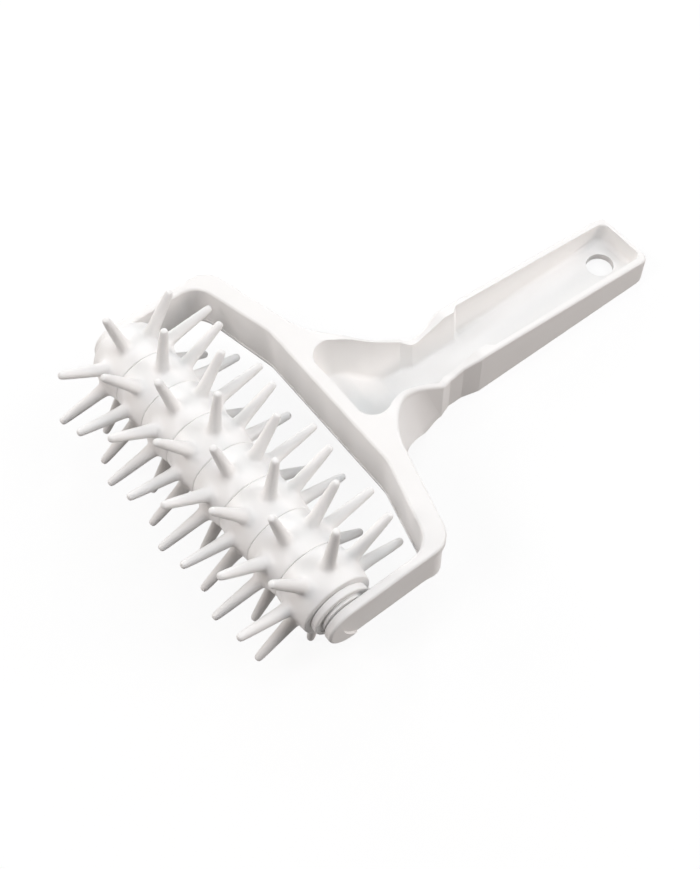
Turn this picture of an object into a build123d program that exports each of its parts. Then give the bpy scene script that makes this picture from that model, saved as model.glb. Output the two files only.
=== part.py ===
from build123d import *
import os
from math import cos, radians, sqrt

# Dough docker: a roller of eight spiked rings in a one-piece yoke with a hollow tray handle.
# X runs along the axle, Y from the roller to the handle's end, Z up from the table.
# The roller stands on two rows of spikes and the handle on the lower edges of its walls.
# Everything is drawn with Y = 0 at the axle, then moved to the middle of the whole length.

# Spiked rings: each hub is round at its ends and eight-sided at mid width
RING_COUNT = 8
SPIKES_PER_RING = 8
RING_PITCH = 14.0
RING_SEAM = 0.15
HUB_RIDGE_RADIUS = 13.0
HUB_RIDGE_FLAT = 12.1
HUB_SEAM_RADIUS = 11.7
HUB_SEAM_FLAT = 11.5
SPIKE_REACH = 30.5
SPIKE_FOOT_RADIUS = 3.2
SPIKE_FOOT_TOP = 15.2
SPIKE_ROOT_RADIUS = 2.0
SPIKE_TIP_RADIUS = 1.3
SPIKE_STEP = 360 / SPIKES_PER_RING
# One moulding serves all rings: its key is a quarter step off, so a flipped ring is half a step on.
KEY_OFFSET = SPIKE_STEP / 4

# Axle, end discs and washers
AXLE_SIDE = 8.0
AXLE_CHAMFER = 0.6
KEY_CLEARANCE = 0.1
JOURNAL_RADIUS = 3.0
JOURNAL_CLEARANCE = 0.08
DISC_RADIUS = 9.7
DISC_THICKNESS = 2.4
DISC_DISH_RADIUS = 8.3
DISC_DISH_DEPTH = 0.3
DISC_EDGE = 0.5
WASHER_RADIUS = 7.2
WASHER_THICKNESS = 0.8
STACK_PLAY = 0.1
SOCKET_DEPTH = 1.7
SOCKET_END_PLAY = 0.2

# Arms
ARM_THICKNESS = 3.2
ARM_ABOVE_AXLE = 6.2
ARM_BELOW_AXLE = 10.5
ARM_NOSE = 7.8

# Back bar: inner face, bent once on each side
BAR_INNER_Y = 38.3
BAR_BEND_X = 30.0
BAR_CORNER_Y = 30.4
BAR_TOP_WIDTH = 7.3
BAR_HEIGHT = 21.0
BAR_BEND_RADIUS = 12.0
BAY_CORNER_RADIUS = 8.0
BAR_OUTER_CORNER_RADIUS = 8.0
BAR_SLOPE_Y = 10.0

# Shallow recess under the flange round the top of arms and corners, open below
RECESS_DEPTH = 0.8
YOKE_FLANGE = 3.2
YOKE_NOSE_RIM = 5.4
RECESS_END_X = 36.0
RIM_EDGE_RADIUS = 0.9

# Handle
HANDLE_END_Y = 170.5
HANDLE_WIDTH = 24.2
HANDLE_CORNER_RADIUS = 3.0
HANDLE_END_HEIGHT = 11.3
WAIST_START_Y = 76.6
WAIST_NARROW_Y = 81.0
WAIST_WIDEN_Y = 86.5
WAIST_END_Y = 93.0
WAIST_WIDTH = 20.9
WAIST_RADIUS = 1.0
FLARE_RADIUS = 24.5
RIM_PEAK_Y = 93.8
RIM_PEAK_HEIGHT = 19.3
RIM_DIP_Y = 80.3
RIM_DIP_HEIGHT = 15.0
RIM_CREST_Y = 54.7
RIM_SMALL_RADIUS = 6.0
RIM_CREST_RADIUS = 18.0
SKIRT_START_Y = 68.6
SKIRT_TOP_Y = 53.5
SKIRT_RADIUS = 8.0
HEEL_RADIUS = 4.5

# Tray in the handle, with its plan at floor level and walls that lean out
FLOOR_THICKNESS = 2.6
UNDERSIDE_RECESS = 1.4
UNDERSIDE_WALL = 2.1
TRAY_WIDTH = 18.2
TRAY_END_Y = 168.2
TRAY_DRAFT = 4.0
TRAY_FOOT_RADIUS = 1.6
TRAY_WAIST_WIDTH = 14.4
TRAY_WAIST_START_Y = 76.0
TRAY_WAIST_NARROW_Y = 79.7
TRAY_WAIST_WIDEN_Y = 98.1
TRAY_WAIST_END_Y = 100.5
POCKET_FRONT_Y = 44.9
POCKET_FRONT_WIDTH = 23.6
POCKET_SHOULDER_WIDTH = 29.6
POCKET_SHOULDER_Y = 48.0
POCKET_FLARE_RADIUS = 40.0
HANG_HOLE_RADIUS = 4.9
HANG_HOLE_INSET = 11.0

OVERRUN = 2.0

# Places that follow from the sizes above
TIP_CENTRE = SPIKE_REACH - SPIKE_TIP_RADIUS
AXLE_HEIGHT = TIP_CENTRE * cos(radians(KEY_OFFSET)) + SPIKE_TIP_RADIUS
ROLLER_BACK = AXLE_HEIGHT
AXLE_Y = (ROLLER_BACK - HANDLE_END_Y) / 2
STACK_HALF = RING_COUNT * RING_PITCH / 2
DISC_INNER_X = STACK_HALF + STACK_PLAY / 2
DISC_OUTER_X = DISC_INNER_X + DISC_THICKNESS
WASHER_INNER_X = DISC_OUTER_X + STACK_PLAY
WASHER_OUTER_X = WASHER_INNER_X + WASHER_THICKNESS
ARM_INNER_X = WASHER_OUTER_X + STACK_PLAY
ARM_OUTER_X = ARM_INNER_X + ARM_THICKNESS
YOKE_TOP = AXLE_HEIGHT + ARM_ABOVE_AXLE
ARM_BOTTOM = AXLE_HEIGHT - ARM_BELOW_AXLE
BAR_BOTTOM = YOKE_TOP - BAR_HEIGHT
FLOOR_TOP = UNDERSIDE_RECESS + FLOOR_THICKNESS
HALF_HANDLE = HANDLE_WIDTH / 2
YOKE_JOIN_Y = (SKIRT_START_Y + WAIST_START_Y) / 2


def mirrored(points):
    """A closed outline from its right half, given from front to back."""
    return points + [(-x, y) for x, y in reversed(points) if x > 0]


def hub_form(outline, seam_size, ridge_size):
    """Loft from one end of a ring over its ridge to the other end."""
    half = (RING_PITCH - RING_SEAM) / 2
    stations = [(-half, seam_size), (0, ridge_size), (half, seam_size)]
    return loft([Plane.YZ.offset(x) * outline(size) for x, size in stations], ruled=True)


def eight_sided(flat):
    radius = flat / cos(radians(SPIKE_STEP / 2))
    return RegularPolygon(radius, SPIKES_PER_RING, rotation=KEY_OFFSET)


def spike():
    """One blunt tapered spike along +Y on a conical foot, from inside the hub out."""
    shoulder = (SPIKE_TIP_RADIUS, TIP_CENTRE)
    rounding = SPIKE_TIP_RADIUS / sqrt(2)
    crown = (rounding, TIP_CENTRE + rounding)
    side = Polyline(
        (0, SPIKE_REACH),
        (0, HUB_SEAM_FLAT),
        (SPIKE_FOOT_RADIUS, HUB_SEAM_FLAT),
        (SPIKE_ROOT_RADIUS, SPIKE_FOOT_TOP),
        shoulder,
    )
    tip = ThreePointArc(shoulder, crown, (0, SPIKE_REACH))
    return revolve(make_face(side + tip), Axis.Y)


def spike_ring():
    """Hub with eight spikes and a square bore, its flats lying between the spikes."""
    round_form = hub_form(Circle, HUB_SEAM_RADIUS, HUB_RIDGE_RADIUS)
    hub = round_form & hub_form(eight_sided, HUB_SEAM_FLAT, HUB_RIDGE_FLAT)
    turns = [KEY_OFFSET + number * SPIKE_STEP for number in range(SPIKES_PER_RING)]
    return hub + [Rot(X=turn) * spike() for turn in turns] - square_bore()


def square_bore():
    side = AXLE_SIDE + 2 * KEY_CLEARANCE
    return Box(RING_PITCH + OVERRUN, side, side)


def axle():
    """Square shaft with a round journal at each end."""
    shaft = Box(2 * DISC_OUTER_X, AXLE_SIDE, AXLE_SIDE)
    shaft = chamfer(shaft.edges().filter_by(Axis.X), AXLE_CHAMFER)
    journal_end = ARM_INNER_X + SOCKET_DEPTH - SOCKET_END_PLAY
    return shaft + Rot(Y=90) * Cylinder(JOURNAL_RADIUS, 2 * journal_end)


def end_disc():
    """Disc at the +X end of the rings, lightly dished on the side towards the arm."""
    middle = (DISC_INNER_X + DISC_OUTER_X) / 2
    disc = Pos(X=middle) * Rot(Y=90) * Cylinder(DISC_RADIUS, DISC_THICKNESS)
    disc = fillet(disc.edges(), DISC_EDGE)
    dish = Rot(Y=90) * Cylinder(DISC_DISH_RADIUS, 2 * DISC_DISH_DEPTH)
    collar = Rot(Y=90) * Cylinder(WASHER_RADIUS, 2 * DISC_DISH_DEPTH)
    disc -= Pos(X=DISC_OUTER_X) * (dish - collar)
    return disc - Pos(X=middle) * square_bore()


def washer():
    """Thin washer on the journal between the disc and the arm."""
    middle = (WASHER_INNER_X + WASHER_OUTER_X) / 2
    ring = Cylinder(WASHER_RADIUS, WASHER_THICKNESS)
    ring -= Cylinder(JOURNAL_RADIUS + JOURNAL_CLEARANCE, WASHER_THICKNESS + OVERRUN)
    return Pos(X=middle) * Rot(Y=90) * ring


def handle_outline():
    """Plan of the handle's straight part, from inside the yoke's root, narrowed at the waist."""
    half_waist = WAIST_WIDTH / 2
    points = [
        (HALF_HANDLE, SKIRT_START_Y),
        (HALF_HANDLE, WAIST_START_Y),
        (half_waist, WAIST_NARROW_Y),
        (half_waist, WAIST_WIDEN_Y),
        (HALF_HANDLE, WAIST_END_Y),
        (HALF_HANDLE, HANDLE_END_Y),
    ]
    face = make_face(Polyline(mirrored(points), close=True))
    waist = face.vertices().filter_by(lambda v: SKIRT_START_Y < v.Y < WAIST_END_Y + OVERRUN)
    face = fillet(waist, WAIST_RADIUS)
    ends = face.vertices().filter_by(lambda v: v.Y > HANDLE_END_Y - OVERRUN)
    return fillet(ends, HANDLE_CORNER_RADIUS)


def bay_outline():
    """Plan of the space between the arms, open at the front."""
    front = -ARM_NOSE - OVERRUN
    points = [
        (ARM_INNER_X, front),
        (ARM_INNER_X, BAR_CORNER_Y),
        (BAR_BEND_X, BAR_INNER_Y),
    ]
    face = make_face(Polyline(mirrored(points), close=True))
    corners = face.vertices().filter_by(lambda v: abs(v.Y - BAR_CORNER_Y) < OVERRUN)
    face = fillet(corners, BAY_CORNER_RADIUS)
    bends = face.vertices().filter_by(lambda v: abs(v.Y - BAR_INNER_Y) < OVERRUN)
    return fillet(bends, BAR_BEND_RADIUS)


def yoke_outline():
    """Outer plan of arms, bar and flare, with the handle's root between the flares."""
    slope = (BAR_INNER_Y - BAR_CORNER_Y) / (ARM_INNER_X - BAR_BEND_X)
    outer_bend_y = BAR_INNER_Y + BAR_TOP_WIDTH
    corner_y = outer_bend_y - slope * (ARM_OUTER_X - BAR_BEND_X)
    root_y = outer_bend_y + slope * (BAR_BEND_X - HALF_HANDLE)
    points = [
        (ARM_OUTER_X, -ARM_NOSE),
        (ARM_OUTER_X, corner_y),
        (HALF_HANDLE, root_y),
        (HALF_HANDLE, YOKE_JOIN_Y),
    ]
    face = make_face(Polyline(mirrored(points), close=True))
    corners = face.vertices().filter_by(lambda v: abs(v.Y - corner_y) < OVERRUN)
    face = fillet(corners, BAR_OUTER_CORNER_RADIUS)
    roots = face.vertices().filter_by(lambda v: abs(v.Y - root_y) < OVERRUN)
    return fillet(roots, FLARE_RADIUS)


def side_outline():
    """Side view of the whole frame: arms, bar, flare and handle."""
    top = FilletPolyline(
        (0, YOKE_TOP),
        (RIM_CREST_Y, YOKE_TOP),
        (RIM_DIP_Y, RIM_DIP_HEIGHT),
        (RIM_PEAK_Y, RIM_PEAK_HEIGHT),
        (HANDLE_END_Y, HANDLE_END_HEIGHT),
        radius=[RIM_CREST_RADIUS, RIM_SMALL_RADIUS, RIM_SMALL_RADIUS],
    )
    bottom = FilletPolyline(
        (HANDLE_END_Y, HANDLE_END_HEIGHT),
        (HANDLE_END_Y, 0),
        (SKIRT_START_Y, 0),
        (SKIRT_TOP_Y, BAR_BOTTOM),
        (BAR_INNER_Y, BAR_BOTTOM),
        (BAR_INNER_Y - BAR_SLOPE_Y, ARM_BOTTOM),
        (0, ARM_BOTTOM),
        radius=[HEEL_RADIUS, SKIRT_RADIUS, SKIRT_RADIUS, BAR_SLOPE_Y, BAR_SLOPE_Y],
    )
    nose = ThreePointArc(
        (0, ARM_BOTTOM),
        (-ARM_NOSE, (YOKE_TOP + ARM_BOTTOM) / 2),
        (0, YOKE_TOP),
    )
    return make_face(top + bottom + nose)


def side_slab(face, width):
    """A Y-Z outline extruded to both sides of the middle plane."""
    return extrude(Plane.YZ * face, amount=width / 2, both=True)


def rim_rounded(body, low_y, high_y):
    """A block with its upper rim rounded between two places along Y."""
    upward = body.faces().filter_by(lambda f: f.normal_at().Z > 1 / 2)
    upright = body.faces().filter_by(lambda f: abs(f.normal_at().Z) < 1 / 9)
    walls = {edge for face in upright for edge in face.edges()}
    rim = {edge for face in upward for edge in face.edges() if edge in walls}
    return fillet([edge for edge in rim if low_y < (edge @ 0.5).Y < high_y], RIM_EDGE_RADIUS)


def outer_body():
    """Arms, bar, flare and handle as one block with a rounded upper rim."""
    sides = side_slab(side_outline(), 2 * ARM_OUTER_X)
    yoke = extrude(yoke_outline() - bay_outline(), amount=YOKE_TOP) & sides
    handle = extrude(handle_outline(), amount=YOKE_TOP) & sides
    yoke = rim_rounded(yoke, -ARM_NOSE, YOKE_JOIN_Y)
    return yoke + rim_rounded(handle, SKIRT_START_Y + RIM_EDGE_RADIUS, HANDLE_END_Y + OVERRUN)


def tray_outline():
    """Plan of the tray at floor level, from the edge on the bar to the handle's end."""
    half = TRAY_WIDTH / 2
    half_waist = TRAY_WAIST_WIDTH / 2
    front = (POCKET_FRONT_WIDTH / 2, POCKET_FRONT_Y)
    shoulder = (POCKET_SHOULDER_WIDTH / 2, POCKET_SHOULDER_Y)
    bulge = POCKET_FLARE_RADIUS - (shoulder[0] - half)
    reach = sqrt(POCKET_FLARE_RADIUS**2 - bulge**2)
    neck = (half, POCKET_SHOULDER_Y + reach)
    outline = Polyline(
        neck,
        (half, TRAY_WAIST_START_Y),
        (half_waist, TRAY_WAIST_NARROW_Y),
        (half_waist, TRAY_WAIST_WIDEN_Y),
        (half, TRAY_WAIST_END_Y),
        (half, TRAY_END_Y),
        (0, TRAY_END_Y),
        (0, POCKET_FRONT_Y),
        front,
        shoulder,
    )
    half_plan = make_face(outline + RadiusArc(shoulder, neck, POCKET_FLARE_RADIUS))
    return half_plan + mirror(half_plan, Plane.YZ)


def above_floor():
    """Side view of the space over the tray's floor, which follows the lower edge up the flare."""
    front = POCKET_FRONT_Y - 2 * OVERRUN
    level = FilletPolyline(
        (HANDLE_END_Y, FLOOR_TOP),
        (SKIRT_START_Y, FLOOR_TOP),
        (SKIRT_TOP_Y, BAR_BOTTOM + FLOOR_THICKNESS),
        (front, BAR_BOTTOM + FLOOR_THICKNESS),
        radius=[SKIRT_RADIUS, SKIRT_RADIUS],
    )
    top = YOKE_TOP + 2 * OVERRUN
    corners = Polyline(level @ 1, (front, top), (HANDLE_END_Y, top), (HANDLE_END_Y, FLOOR_TOP))
    return make_face(level + corners)


def tray():
    """Hollow on top of the handle, widening upwards, rounded along the foot of its walls."""
    height = YOKE_TOP + OVERRUN - FLOOR_TOP
    hollow = extrude(Pos(Z=FLOOR_TOP) * tray_outline(), amount=height, taper=-TRAY_DRAFT)
    hollow &= side_slab(above_floor(), 2 * ARM_OUTER_X)
    floors = hollow.faces().filter_by(lambda f: f.normal_at().Z < -1 / 2)
    between = {edge for face in floors for edge in face.edges()}
    walls = hollow.faces().filter_by(lambda f: abs(f.normal_at().Z) < 1 / 9)
    foot = {edge for face in walls for edge in face.edges() if edge in between}
    return fillet(list(foot), TRAY_FOOT_RADIUS)


def underside():
    """Shallow hollow between the lower edges of the handle's walls."""
    front = SKIRT_START_Y + SKIRT_RADIUS
    keep = Pos(Y=front + HANDLE_END_Y / 2) * Rectangle(HANDLE_WIDTH, HANDLE_END_Y)
    inner = offset(handle_outline() & keep, -UNDERSIDE_WALL)
    return extrude(inner, amount=UNDERSIDE_RECESS)


def recess():
    """Space under the flange on the outer side of arms and corners, open below."""
    length = HANDLE_END_Y
    width = 2 * (ARM_OUTER_X + OVERRUN)
    block = Rectangle(width, length) - offset(yoke_outline(), -RECESS_DEPTH)
    plan = block - Rectangle(2 * RECESS_END_X, 2 * length)
    front = YOKE_NOSE_RIM - ARM_NOSE
    top = YOKE_TOP - YOKE_FLANGE
    side = Polyline((length, 0), (length, top), (front, top))
    nose = ThreePointArc((front, top), (front, (top + ARM_BOTTOM) / 2), (-front, ARM_BOTTOM))
    below = Polyline((-front, ARM_BOTTOM), (-front, 0), (length, 0))
    return extrude(plan, amount=YOKE_TOP) & side_slab(make_face(side + nose + below), width)


def handle_frame():
    """Arms, bar, flare and handle in one moulding, with blind sockets for the axle."""
    body = outer_body() - recess() - tray() - underside()
    hole = Cylinder(HANG_HOLE_RADIUS, 2 * (FLOOR_TOP + OVERRUN))
    body -= Pos(Y=HANDLE_END_Y - HANG_HOLE_INSET) * hole
    socket_length = 2 * (ARM_INNER_X + SOCKET_DEPTH)
    sockets = Rot(Y=90) * Cylinder(JOURNAL_RADIUS + JOURNAL_CLEARANCE, socket_length)
    return body - Pos(Z=AXLE_HEIGHT) * sockets


def on_axle(shape):
    return Pos(Z=AXLE_HEIGHT) * shape


def build_parts():
    parts = {"handle_frame": handle_frame(), "axle": on_axle(axle())}
    ring = spike_ring()
    for number in range(RING_COUNT):
        x = (number + 1 / 2) * RING_PITCH - STACK_HALF
        flip = Rot(Z=180 * (number % 2))
        parts[f"spike_ring_{number + 1}"] = on_axle(Pos(X=x) * flip * ring)
    for name, shape in (("end_disc", end_disc()), ("washer", washer())):
        parts[f"{name}_right"] = on_axle(shape)
        parts[f"{name}_left"] = on_axle(mirror(shape, Plane.YZ))
    return parts


os.makedirs("parts", exist_ok=True)
for name, shape in build_parts().items():
    export_step(Pos(Y=AXLE_Y) * shape, f"parts/{name}.step")
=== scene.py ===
from math import atan2, cos, pi, radians, sin, sqrt, tan

import bmesh
import bpy
from mathutils import Euler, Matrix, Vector


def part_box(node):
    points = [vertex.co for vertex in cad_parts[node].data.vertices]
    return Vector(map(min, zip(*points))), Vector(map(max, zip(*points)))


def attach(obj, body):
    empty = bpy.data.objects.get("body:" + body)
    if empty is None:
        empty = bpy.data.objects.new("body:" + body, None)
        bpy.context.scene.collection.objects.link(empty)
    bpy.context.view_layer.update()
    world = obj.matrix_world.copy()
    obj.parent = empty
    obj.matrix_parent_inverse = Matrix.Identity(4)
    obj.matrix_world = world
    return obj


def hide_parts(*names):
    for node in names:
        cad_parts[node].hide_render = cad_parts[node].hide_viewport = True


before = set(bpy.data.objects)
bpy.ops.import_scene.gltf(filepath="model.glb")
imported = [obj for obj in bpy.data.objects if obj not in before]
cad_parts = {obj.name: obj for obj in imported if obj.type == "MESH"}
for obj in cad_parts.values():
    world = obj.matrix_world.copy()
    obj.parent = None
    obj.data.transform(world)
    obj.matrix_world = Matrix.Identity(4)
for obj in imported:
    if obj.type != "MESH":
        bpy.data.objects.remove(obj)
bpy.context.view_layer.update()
spin_low, spin_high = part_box("axle")
spin_middle = (spin_low + spin_high) / 2

# Camera: stands less than half a metre away, in front of the roller's right end and well above it,
# and looks steeply down at the middle of the tool, as someone at the counter would.
camera_place = (0.1813, -0.1572, 0.3790)
camera_turn = (radians(30.91), radians(0.70), radians(52.32))
camera_lens = 55.0
camera_sensor = 36.0
camera_near = 0.01

camera_data = bpy.data.cameras.new("camera")
camera_data.lens = camera_lens
camera_data.sensor_width = camera_sensor
camera_data.clip_start = camera_near
camera = bpy.data.objects.new("camera", camera_data)
camera.location = camera_place
camera.rotation_euler = Euler(camera_turn)
bpy.context.scene.collection.objects.link(camera)
bpy.context.scene.camera = camera


# Handle frame: arms, back bar, flare and tray handle are one white plastic moulding. It keeps the
# mould's fine spark-eroded grain, and faint flow streaks and a cloudy gloss from the melt's way in.
frame_white = (0.89, 0.883, 0.874)
frame_cream = (0.874, 0.863, 0.85)
frame_gloss = 0.30
frame_dull = 0.44
frame_grain_height = 0.000012
plastic_index = 1.49
plastic_specular = 0.3
cloud_scale = 70.0
streak_scale = 420.0
grain_scale = 5200.0
skin_layers = (("Cloud", 4.0, 0.55), ("Streak", 3.0, 0.5), ("Grain", 2.0, 0.6))
streak_draw = (1.0, 0.14, 1.0)
glossy_streak = 0.3
dull_streak = 0.7
wave_strength = 0.6
wave_height = 0.00006
grain_strength = 0.7


def moulded_skin_group():
    """Shared look of moulded plastic: slow clouds, drawn-out flow streaks and a fine grain."""
    skin = bpy.data.node_groups.new("moulded_skin", "ShaderNodeTree")
    for socket, kind in (("Place", "NodeSocketVector"), ("Cloud Scale", "NodeSocketFloat"),
                         ("Streak Scale", "NodeSocketFloat"), ("Grain Scale", "NodeSocketFloat")):
        skin.interface.new_socket(socket, in_out="INPUT", socket_type=kind)
    for socket in ("Cloud", "Streak", "Grain"):
        skin.interface.new_socket(socket, in_out="OUTPUT", socket_type="NodeSocketFloat")
    given = skin.nodes.new("NodeGroupInput")
    made = skin.nodes.new("NodeGroupOutput")
    for name, detail, roughness in skin_layers:
        noise = skin.nodes.new("ShaderNodeTexNoise")
        noise.inputs["Detail"].default_value = detail
        noise.inputs["Roughness"].default_value = roughness
        place = given.outputs["Place"]
        if name == "Streak":
            drawn = skin.nodes.new("ShaderNodeVectorMath")
            drawn.operation = "MULTIPLY"
            drawn.inputs[1].default_value = streak_draw
            skin.links.new(place, drawn.inputs[0])
            place = drawn.outputs[0]
        skin.links.new(place, noise.inputs["Vector"])
        skin.links.new(given.outputs[f"{name} Scale"], noise.inputs["Scale"])
        skin.links.new(noise.outputs["Fac"], made.inputs[name])
    return skin


moulded_skin = moulded_skin_group()


def moulded_plastic(name, white, cream, gloss, dull, grain_height):
    """White moulded plastic: clouds shift its colour, streaks its gloss, and the grain is bumped in."""
    material = bpy.data.materials.new(name)
    material.use_nodes = True
    nodes, links = material.node_tree.nodes, material.node_tree.links
    shader = nodes["Principled BSDF"]
    shader.inputs["IOR"].default_value = plastic_index
    shader.inputs["Specular IOR Level"].default_value = plastic_specular
    place = nodes.new("ShaderNodeTexCoord")
    skin = nodes.new("ShaderNodeGroup")
    skin.node_tree = moulded_skin
    skin.inputs["Cloud Scale"].default_value = cloud_scale
    skin.inputs["Streak Scale"].default_value = streak_scale
    skin.inputs["Grain Scale"].default_value = grain_scale
    links.new(place.outputs["Object"], skin.inputs["Place"])
    tint = nodes.new("ShaderNodeMix")
    tint.data_type = "RGBA"
    tint.inputs["A"].default_value = (*cream, 1.0)
    tint.inputs["B"].default_value = (*white, 1.0)
    links.new(skin.outputs["Cloud"], tint.inputs["Factor"])
    links.new(tint.outputs["Result"], shader.inputs["Base Color"])
    sheen = nodes.new("ShaderNodeMapRange")
    sheen.inputs["From Min"].default_value = glossy_streak
    sheen.inputs["From Max"].default_value = dull_streak
    sheen.inputs["To Min"].default_value = gloss
    sheen.inputs["To Max"].default_value = dull
    links.new(skin.outputs["Streak"], sheen.inputs["Value"])
    links.new(sheen.outputs["Result"], shader.inputs["Roughness"])
    wave = nodes.new("ShaderNodeBump")
    wave.inputs["Strength"].default_value = wave_strength
    wave.inputs["Distance"].default_value = wave_height
    links.new(skin.outputs["Cloud"], wave.inputs["Height"])
    grain = nodes.new("ShaderNodeBump")
    grain.inputs["Strength"].default_value = grain_strength
    grain.inputs["Distance"].default_value = grain_height
    links.new(skin.outputs["Grain"], grain.inputs["Height"])
    links.new(wave.outputs["Normal"], grain.inputs["Normal"])
    links.new(grain.outputs["Normal"], shader.inputs["Normal"])
    return material


def finish_with(node_name, material):
    """Puts one material on every slot of a piece that comes from the CAD."""
    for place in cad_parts[node_name].material_slots:
        place.material = material


frame_plastic = moulded_plastic("frame_plastic", frame_white, frame_cream, frame_gloss, frame_dull,
                                frame_grain_height)
finish_with("handle_frame", frame_plastic)


# Bay lip: a low band runs round the foot of the wall that faces the roller, a nail's thickness proud,
# with a narrow ledge on top and a face that leans under. The mould's two halves meet along it.
bay_line = ((0.05945, 0.0190), (0.05945, 0.0304), (0.0300, 0.0383), (-0.0300, 0.0383), (-0.05945, 0.0304),
            (-0.05945, 0.0190))
bay_radii = (0.008, 0.012, 0.012, 0.008)
frame_foot = ((0.0, 0.01944), (0.0283, 0.01944), (0.0383, 0.01514), (0.0535, 0.01514), (0.0686, 0.0),
              (0.1, 0.0))
frame_foot_radii = (0.010, 0.010, 0.008, 0.008)
lip_section = ((-0.0004, 0.0), (0.0, 0.0), (0.00017, 0.0008), (0.00034, 0.0016), (0.00031, 0.00173),
               (-0.00002, 0.00179), (-0.0004, 0.00179))
lip_fade = 0.006
sharp_turn = radians(32.0)


def rounded_line(corners, radii, steps=10):
    """Points along a line whose inner corners are rounded, each by its own radius."""
    corners = [Vector(corner) for corner in corners]
    line = [corners[0]]
    for before, corner, after, radius in zip(corners, corners[1:], corners[2:], radii):
        one, other = (before - corner).normalized(), (after - corner).normalized()
        half = one.angle(other) / 2
        start, end = corner + one * radius / tan(half), corner + other * radius / tan(half)
        middle = corner + (one + other).normalized() * radius / sin(half)
        for step in range(steps + 1):
            way = start.lerp(end, step / steps) - middle
            line.append(middle + way.normalized() * radius)
    line.append(corners[-1])
    return line


def level_on(line, place):
    """Height of a side-view line at a distance back from the axle."""
    for one, other in zip(line, line[1:]):
        if one.x <= place <= other.x:
            return one.y + (other.y - one.y) * (place - one.x) / (other.x - one.x)
    return line[-1].y


def moulded_on_frame(name, sections):
    """A closed piece through a row of like sections, moulded in one with the frame."""
    body = bmesh.new()
    rings = [[body.verts.new(point) for point in section] for section in sections]
    count = len(rings[0])
    for one, other in zip(rings, rings[1:]):
        for step in range(count):
            after = (step + 1) % count
            body.faces.new((one[step], one[after], other[after], other[step]))
    for ring in (rings[0], rings[-1]):
        body.faces.new(ring)
    bmesh.ops.recalc_face_normals(body, faces=body.faces)
    mesh = bpy.data.meshes.new(name)
    body.to_mesh(mesh)
    body.free()
    mesh.shade_smooth()
    mesh.set_sharp_from_angle(angle=sharp_turn)
    mesh.materials.append(frame_plastic)
    piece = bpy.data.objects.new(name, mesh)
    bpy.context.scene.collection.objects.link(piece)
    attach(piece, "frame")


foot_line = rounded_line(frame_foot, frame_foot_radii)
bay_points = rounded_line(bay_line, bay_radii)
bay_sections = []
for number, point in enumerate(bay_points):
    before, after = bay_points[max(number - 1, 0)], bay_points[min(number + 1, len(bay_points) - 1)]
    along = (after - before).normalized()
    out = Vector((along.y, -along.x)) * -1
    end_way = min((point - bay_points[0]).length, (point - bay_points[-1]).length)
    strength = min(end_way / lip_fade, 1.0)
    section = []
    for proud, up in lip_section:
        place = point + out * (proud * strength if proud > 0 else proud)
        section.append(Vector((place.x, spin_middle.y + place.y, level_on(foot_line, point.y) + up)))
    bay_sections.append(section)
moulded_on_frame("bay_lip", bay_sections)


# Flare skirts: under each flare the wall runs out into a skirt that stiffens the handle's root. Its
# foot leaves the handle's side and meets the bar's back in one slack curve; it is the same moulding.
flare_middle = Vector((0.0366, 0.0692))
flare_radius = 0.0245
flare_turn = radians(75.0)
frame_rim = ((0.0, 0.03614), (0.0547, 0.03614), (0.0803, 0.0150), (0.0938, 0.0193), (0.1705, 0.0113))
frame_rim_radii = (0.018, 0.006, 0.006)
rim_line = rounded_line(frame_rim, frame_rim_radii)
skirt_below_rim = 0.0024
skirt_pulls = ((0.0121, 0.0764), (0.0127, 0.0700), (0.0205, 0.0510), (0.0310, 0.0453))
skirt_steps = 28
skirt_rows = 6
skirt_short = 0.12
skirt_sole = (0.05, 0.35, 0.7, 1.0)
skirt_root = 0.0004


def flare_skirt(name, side):
    """One side's skirt, in upright sections from the handle's side round to the bar's back."""
    sections = []
    for step in range(skirt_steps + 1):
        share = step / skirt_steps
        angle = pi + share * flare_turn
        out = Vector((cos(angle), sin(angle)))
        top = flare_middle + out * flare_radius
        root = top + out * skirt_root
        start, pull, other_pull, end = (Vector(point) for point in skirt_pulls)
        foot = (start * (1 - share)**3 + pull * 3 * share * (1 - share)**2
                + other_pull * 3 * share**2 * (1 - share) + end * share**3)
        top_level = level_on(rim_line, top.y) - skirt_below_rim
        foot_level = level_on(foot_line, foot.y)
        ring = []
        for row in range(skirt_rows + 1):
            down = row / (skirt_rows + skirt_short)
            place = top.lerp(foot, down)
            ring.append((place.x, place.y, top_level + (foot_level - top_level) * down))
        for inward in skirt_sole:
            place = foot.lerp(root, inward)
            ring.append((place.x, place.y, level_on(foot_line, place.y)))
        ring.append((root.x, root.y, top_level))
        sections.append([Vector((side * x, spin_middle.y + y, z)) for x, y, z in ring])
    moulded_on_frame(name, sections)


for name, side in (("flare_skirt_left", -1), ("flare_skirt_right", 1)):
    flare_skirt(name, side)


# Hollow corners: the hollow handle's two corners behind the bar and its two at the far end are each
# filled with a leaning round that runs into the walls' foot, since the mould's core is rounded there.
tray_draft = tan(radians(4.0))
draft_level = 0.004
foot_round = 0.0016
edge_round = 0.0004
below_rim = 0.00003
corner_steps = 16
foot_steps = 6
edge_steps = 4
corner_depth = 0.0008
tuck_in = 1.6 * edge_round
rim_tries = 2


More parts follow.
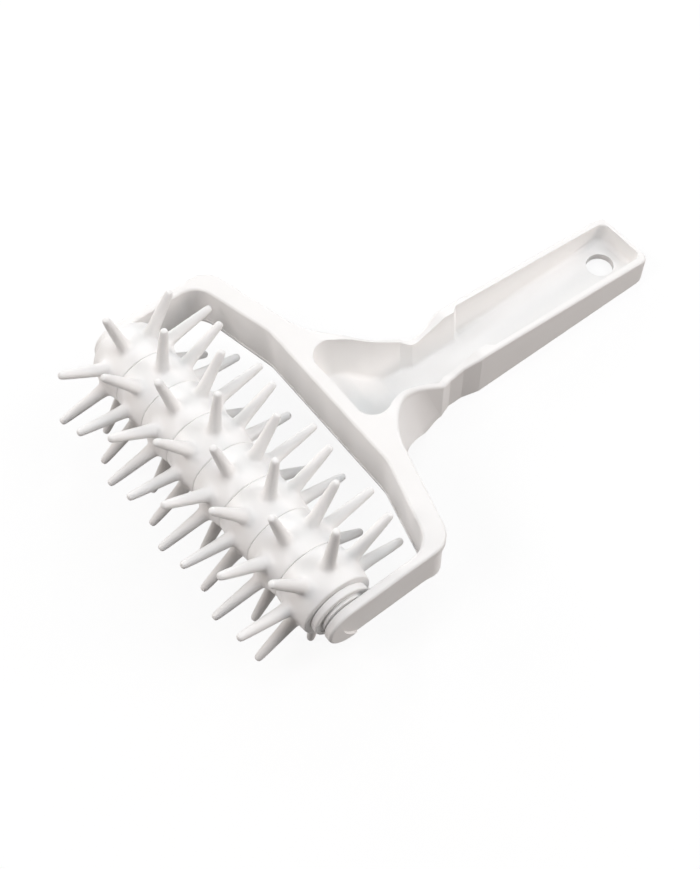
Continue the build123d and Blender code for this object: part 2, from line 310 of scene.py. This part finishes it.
def corner_round(name, side, middle, radius, start, end, floor_level):
    """One corner's round about an upright line, from just under the hollow's floor up to the rim."""
    half = (end - start) / 2
    ways = [(start + (end - start) * step / corner_steps, 1.0) for step in range(corner_steps + 1)]
    roots = [(end, 1.0), (start + half, 1 / cos(half)), (start, 1.0)]
    sections = []

    def add_section(up, out, at_rim):
        section = []
        for angle, stretch in ways + roots:
            proud = out if len(section) < len(ways) else corner_depth
            level = floor_level + up
            for again in range(rim_tries):
                reach = (radius + (level - draft_level) * tray_draft + proud) * stretch
                place = middle + Vector((cos(angle), sin(angle))) * reach
                if at_rim:
                    level = level_on(rim_line, place.y) - below_rim + up
            section.append(Vector((side * place.x, spin_middle.y + place.y, level)))
        sections.append(section)

    add_section(-corner_depth, -foot_round, False)
    for step in range(foot_steps + 1):
        turn = step * pi / (2 * foot_steps)
        add_section(foot_round * (1 - cos(turn)), -foot_round * (1 - sin(turn)), False)
    for step in range(edge_steps + 1):
        turn = step * pi / (2 * edge_steps)
        add_section(-edge_round * (1 - sin(turn)), edge_round * (1 - cos(turn)), True)
    add_section(0.0, tuck_in, True)
    moulded_on_frame(name, sections)


pocket_front = 0.0449
pocket_floor = 0.01774
pocket_radius = 0.0038
pocket_flare_middle = Vector((0.0491, 0.06858))
pocket_flare_radius = 0.040
beyond = pocket_flare_middle.y - pocket_front - pocket_radius
beside = sqrt((pocket_flare_radius + pocket_radius)**2 - beyond**2)
pocket_middle = Vector((pocket_flare_middle.x - beside, pocket_front + pocket_radius))
tray_half = 0.0091
tray_end = 0.1682
tray_floor = 0.004
tray_radius = 0.0026
tray_middle = Vector((tray_half - tray_radius, tray_end - tray_radius))
for name, side in (("left", -1), ("right", 1)):
    corner_round(f"pocket_corner_{name}", side, pocket_middle, pocket_radius, -pi / 2, atan2(beyond, beside),
                 pocket_floor)
    corner_round(f"tray_corner_{name}", side, tray_middle, tray_radius, 0.0, pi / 2, tray_floor)


# Spiked rings: eight loose rings of the same plastic, pushed side by side over the square shaft. A
# ring's hub is round at its ends and eight-sided at mid width, and its eight blunt spikes grow out
# of the corners with a soft foot. Every second ring is turned by half a spike.
ring_white = (0.908, 0.901, 0.893)
ring_cream = (0.893, 0.884, 0.873)
ring_gloss = 0.28
ring_dull = 0.40
ring_grain_height = 0.00001
ring_count = 8
spike_count = 8
odd_ring_turn = pi / 16
even_ring_turn = 3 * pi / 16
hub_steps = 2 * spike_count
hub_turn = pi / spike_count
loop_steps = 8
loop_turn = pi / 4
ring_half = 0.00699
ring_lip = 0.00013
hub_end_radius = 0.0117
hub_lip_radius = 0.01164
hub_flat = 0.0121
hub_corner = 0.0130
bore_half = 0.0041
foot_radius = 0.0028
spike_loops = ((0.0138, 0.00222), (0.0150, 0.00203), (0.0222, 0.0017), (0.0286, 0.00136), (0.0300, 0.00105))
facet_crease = 0.26
ridge_crease = 0.2
cut_crease = 1.0
rounding_levels = 2
# The rounding pulls a loop of the cage in to these shares of its radius.
hub_share = (4 + 2 * cos(hub_turn)) / 6
spike_share = (4 + 2 * cos(loop_turn)) / 6


def hub_height(along, across):
    """How far out the hub's surface lies near a spike, by distance from the spike along and across."""
    share = abs(along) / ring_half
    cone = hub_corner + (hub_end_radius - hub_corner) * share
    flat = hub_flat + (hub_end_radius - hub_flat) * share
    on_cone = sqrt(cone**2 - across**2)
    on_flat = (flat - abs(across) * sin(hub_turn)) / cos(hub_turn)
    return min(on_cone, on_flat)


def spiked_ring(name, middle, first_spike):
    """One ring as a coarse cage, which the subdivision surface rounds off."""
    cage = bmesh.new()
    crease = cage.edges.layers.float.new("crease_edge")

    def circle(along, radius_at, turn=0.0):
        points = []
        for step in range(hub_steps):
            angle = first_spike + turn + step * hub_turn
            radius = radius_at(angle)
            place = Vector((along, radius * cos(angle), radius * sin(angle)))
            points.append(cage.verts.new(middle + place))
        return points

    def square_bore(angle):
        return bore_half / max(abs(cos(angle)), abs(sin(angle)))

    def band(one, other):
        count = len(one)
        for step in range(count):
            after = (step + 1) % count
            cage.faces.new((one[step], one[after], other[after], other[step]))

    def hold(one, other, amount):
        cage.edges.get((one, other))[crease] = amount

    outer, inner, lips = {}, {}, {}
    for side in (-1, 1):
        outer[side] = circle(side * (ring_half - ring_lip), lambda angle: hub_end_radius / hub_share)
        lips[side] = circle(side * ring_half, lambda angle: hub_lip_radius / hub_share)
        inner[side] = circle(side * ring_half, square_bore, -first_spike)
    between = {}
    for step in range(1, hub_steps, 2):
        angle = first_spike + step * hub_turn
        place = Vector((0.0, hub_flat * cos(angle), hub_flat * sin(angle)))
        between[step] = cage.verts.new(middle + place)
    for side in (-1, 1):
        band(outer[side], lips[side])
        band(lips[side], inner[side])
    band(inner[-1], inner[1])
    for side in (-1, 1):
        for step in range(hub_steps):
            after = (step + 1) % hub_steps
            hold(inner[side][step], inner[side][after], cut_crease)
            hold(lips[side][step], lips[side][after], facet_crease)
    for step in range(2, hub_steps, 4):
        hold(inner[-1][step], inner[1][step], cut_crease)
    for step in range(0, hub_steps, 2):
        before, after = (step - 1) % hub_steps, step + 1
        angle = first_spike + step * hub_turn
        out = Vector((0.0, cos(angle), sin(angle)))
        side_way = Vector((0.0, -sin(angle), cos(angle)))
        corners = [outer[1][step], outer[1][after], between[after], outer[-1][after],
                   outer[-1][step], outer[-1][before], between[before], outer[1][before]]
        loops = []
        for height, radius in ((None, foot_radius),) + spike_loops:
            reach = radius if height is None else radius / spike_share
            loop = []
            for part in range(loop_steps):
                along, across = reach * cos(part * loop_turn), reach * sin(part * loop_turn)
                level = height or hub_height(along, across)
                place = middle + out * level + side_way * across + Vector((along, 0.0, 0.0))
                loop.append(cage.verts.new(place))
            loops.append(loop)
        band(corners, loops[0])
        for one, other in zip(loops, loops[1:]):
            band(one, other)
        cage.faces.new(loops[-1])
        for part in range(1, loop_steps, 2):
            hold(corners[part], loops[0][part], facet_crease)
        for part in range(2, loop_steps, 4):
            hold(corners[part], loops[0][part], ridge_crease)
    bmesh.ops.recalc_face_normals(cage, faces=cage.faces)
    for face in cage.faces:
        face.smooth = True
    mesh = bpy.data.meshes.new(name)
    cage.to_mesh(mesh)
    cage.free()
    ring = bpy.data.objects.new(name, mesh)
    bpy.context.scene.collection.objects.link(ring)
    rounding = ring.modifiers.new("rounding", "SUBSURF")
    rounding.levels = rounding_levels
    rounding.render_levels = rounding_levels
    return ring


ring_plastic = moulded_plastic("ring_plastic", ring_white, ring_cream, ring_gloss, ring_dull,
                               ring_grain_height)
for number in range(1, ring_count + 1):
    node_name = f"spike_ring_{number}"
    ring_low, ring_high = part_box(node_name)
    ring_middle = Vector(((ring_low.x + ring_high.x) / 2, spin_middle.y, spin_middle.z))
    first_spike = odd_ring_turn if number % 2 else even_ring_turn
    ring = spiked_ring(f"spiked_ring_{number}", ring_middle, first_spike)
    ring.data.materials.append(ring_plastic)
    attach(ring, "roller")
    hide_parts(node_name)


# End discs and washers: two thick plastic discs close the stack of rings, and a thin washer on each
# journal keeps the disc off the arm. They are turned smooth by the mould and run a little glossier.
disc_white = (0.905, 0.898, 0.89)
disc_cream = (0.885, 0.876, 0.864)
disc_gloss = 0.26
disc_dull = 0.38
disc_grain_height = 0.000008

disc_plastic = moulded_plastic("disc_plastic", disc_white, disc_cream, disc_gloss, disc_dull,
                               disc_grain_height)
for node_name in ("end_disc_left", "end_disc_right", "washer_left", "washer_right"):
    finish_with(node_name, disc_plastic)


# Axle: a square plastic shaft with a round journal at each end, sprung into blind sockets in the
# arms. It is hidden inside the rings, and is a plainer, duller moulding.
axle_white = (0.82, 0.815, 0.80)
axle_cream = (0.79, 0.78, 0.76)
axle_gloss = 0.42
axle_dull = 0.55
axle_grain_height = 0.00002

axle_plastic = moulded_plastic("axle_plastic", axle_white, axle_cream, axle_gloss, axle_dull,
                               axle_grain_height)
finish_with("axle", axle_plastic)


# Floor: a plain table top. The camera and reflections see it white with a faint soft shadow, and it
# throws only a little warm light back up at the tool.
floor_reach = 1.5
light_thrown_back = (0.2, 0.182, 0.17)
shadow_share = 0.11
plain_white = (1.0, 1.0, 1.0, 1.0)

floor_mesh = bpy.data.meshes.new("floor")
corners = [(-floor_reach, -floor_reach, 0.0), (floor_reach, -floor_reach, 0.0),
           (floor_reach, floor_reach, 0.0), (-floor_reach, floor_reach, 0.0)]
floor_mesh.from_pydata(corners, [], [(0, 1, 2, 3)])
floor = bpy.data.objects.new("floor", floor_mesh)
bpy.context.scene.collection.objects.link(floor)


def white_table():
    """White to the eye and in reflections, dim to the light that bounces off it."""
    material = bpy.data.materials.new("white_table")
    material.use_nodes = True
    nodes, links = material.node_tree.nodes, material.node_tree.links
    nodes.clear()
    out = nodes.new("ShaderNodeOutputMaterial")
    board = nodes.new("ShaderNodeBsdfDiffuse")
    board.inputs["Color"].default_value = (*light_thrown_back, 1.0)
    paper = nodes.new("ShaderNodeBsdfDiffuse")
    paper.inputs["Color"].default_value = plain_white
    glow = nodes.new("ShaderNodeEmission")
    glow.inputs["Strength"].default_value = 1.0
    seen = nodes.new("ShaderNodeMixShader")
    seen.inputs["Fac"].default_value = shadow_share
    links.new(glow.outputs[0], seen.inputs[1])
    links.new(paper.outputs[0], seen.inputs[2])
    path = nodes.new("ShaderNodeLightPath")
    looked_at = nodes.new("ShaderNodeMath")
    looked_at.operation = "MAXIMUM"
    links.new(path.outputs["Is Camera Ray"], looked_at.inputs[0])
    links.new(path.outputs["Is Glossy Ray"], looked_at.inputs[1])
    pick = nodes.new("ShaderNodeMixShader")
    links.new(looked_at.outputs[0], pick.inputs["Fac"])
    links.new(board.outputs[0], pick.inputs[1])
    links.new(seen.outputs[0], pick.inputs[2])
    links.new(pick.outputs[0], out.inputs["Surface"])
    return material


floor_mesh.materials.append(white_table())


# Studio: soft discs of light round the table, with none on the camera's side. A small key behind the
# roller on the left lights the tray's floor past its far rim. Most low lamps are warmer than high ones.
room_strength = 0.02
room_tint = (1.0, 0.93, 0.88)
# Name, degrees round from +X, degrees up, distance and width in metres, watts and tint.
lamps = (
    ("overhead", 0.0, 90.0, 1.2, 0.6, 2.5, (0.84, 0.94, 1.0)),
    ("key", 129.0, 50.0, 1.0, 0.14, 0.8, (0.9, 0.97, 1.0)),
    ("left_back", 137.0, 22.0, 1.2, 0.5, 2.2, (1.0, 0.97, 0.96)),
    ("left", 180.0, 22.0, 1.2, 0.5, 4.0, (0.97, 0.95, 0.95)),
    ("left_front", 225.0, 33.0, 1.2, 0.5, 2.8, (1.0, 0.95, 0.88)),
    ("front", 263.0, 50.0, 1.2, 0.5, 5.25, (0.99, 0.93, 0.92)),
    ("right_back", 47.0, 55.0, 1.2, 0.5, 3.5, (0.94, 0.97, 1.0)),
    ("right_low", 47.0, 22.0, 1.2, 0.5, 5.7, (1.0, 0.90, 0.85)),
    ("back_low", 90.0, 22.0, 1.2, 0.5, 1.6, (0.92, 0.96, 1.0)),
)

for name, azimuth, height, distance, width, power, tint in lamps:
    lamp_data = bpy.data.lights.new(name, "AREA")
    lamp_data.color = tint
    lamp_data.shape = "DISK"
    lamp_data.size = width
    lamp_data.energy = power
    lamp = bpy.data.objects.new(name, lamp_data)
    level = cos(radians(height))
    way = Vector((level * cos(radians(azimuth)), level * sin(radians(azimuth)), sin(radians(height))))
    lamp.location = way * distance
    lamp.rotation_euler = way.to_track_quat("Z", "Y").to_euler()
    bpy.context.scene.collection.objects.link(lamp)

room = bpy.data.worlds.new("room")
bpy.context.scene.world = room
room.use_nodes = True
room_nodes, room_links = room.node_tree.nodes, room.node_tree.links
walls = room_nodes["Background"]
walls.inputs["Color"].default_value = (*room_tint, 1.0)
walls.inputs["Strength"].default_value = room_strength
sky_seen = room_nodes.new("ShaderNodeBackground")
sky_seen.inputs["Color"].default_value = plain_white
sky_seen.inputs["Strength"].default_value = 1.0
path = room_nodes.new("ShaderNodeLightPath")
pick = room_nodes.new("ShaderNodeMixShader")
room_links.new(path.outputs["Is Camera Ray"], pick.inputs["Fac"])
room_links.new(walls.outputs[0], pick.inputs[1])
room_links.new(sky_seen.outputs[0], pick.inputs[2])
room_links.new(pick.outputs[0], room_nodes["World Output"].inputs["Surface"])

bpy.context.scene.view_settings.view_transform = "Standard"
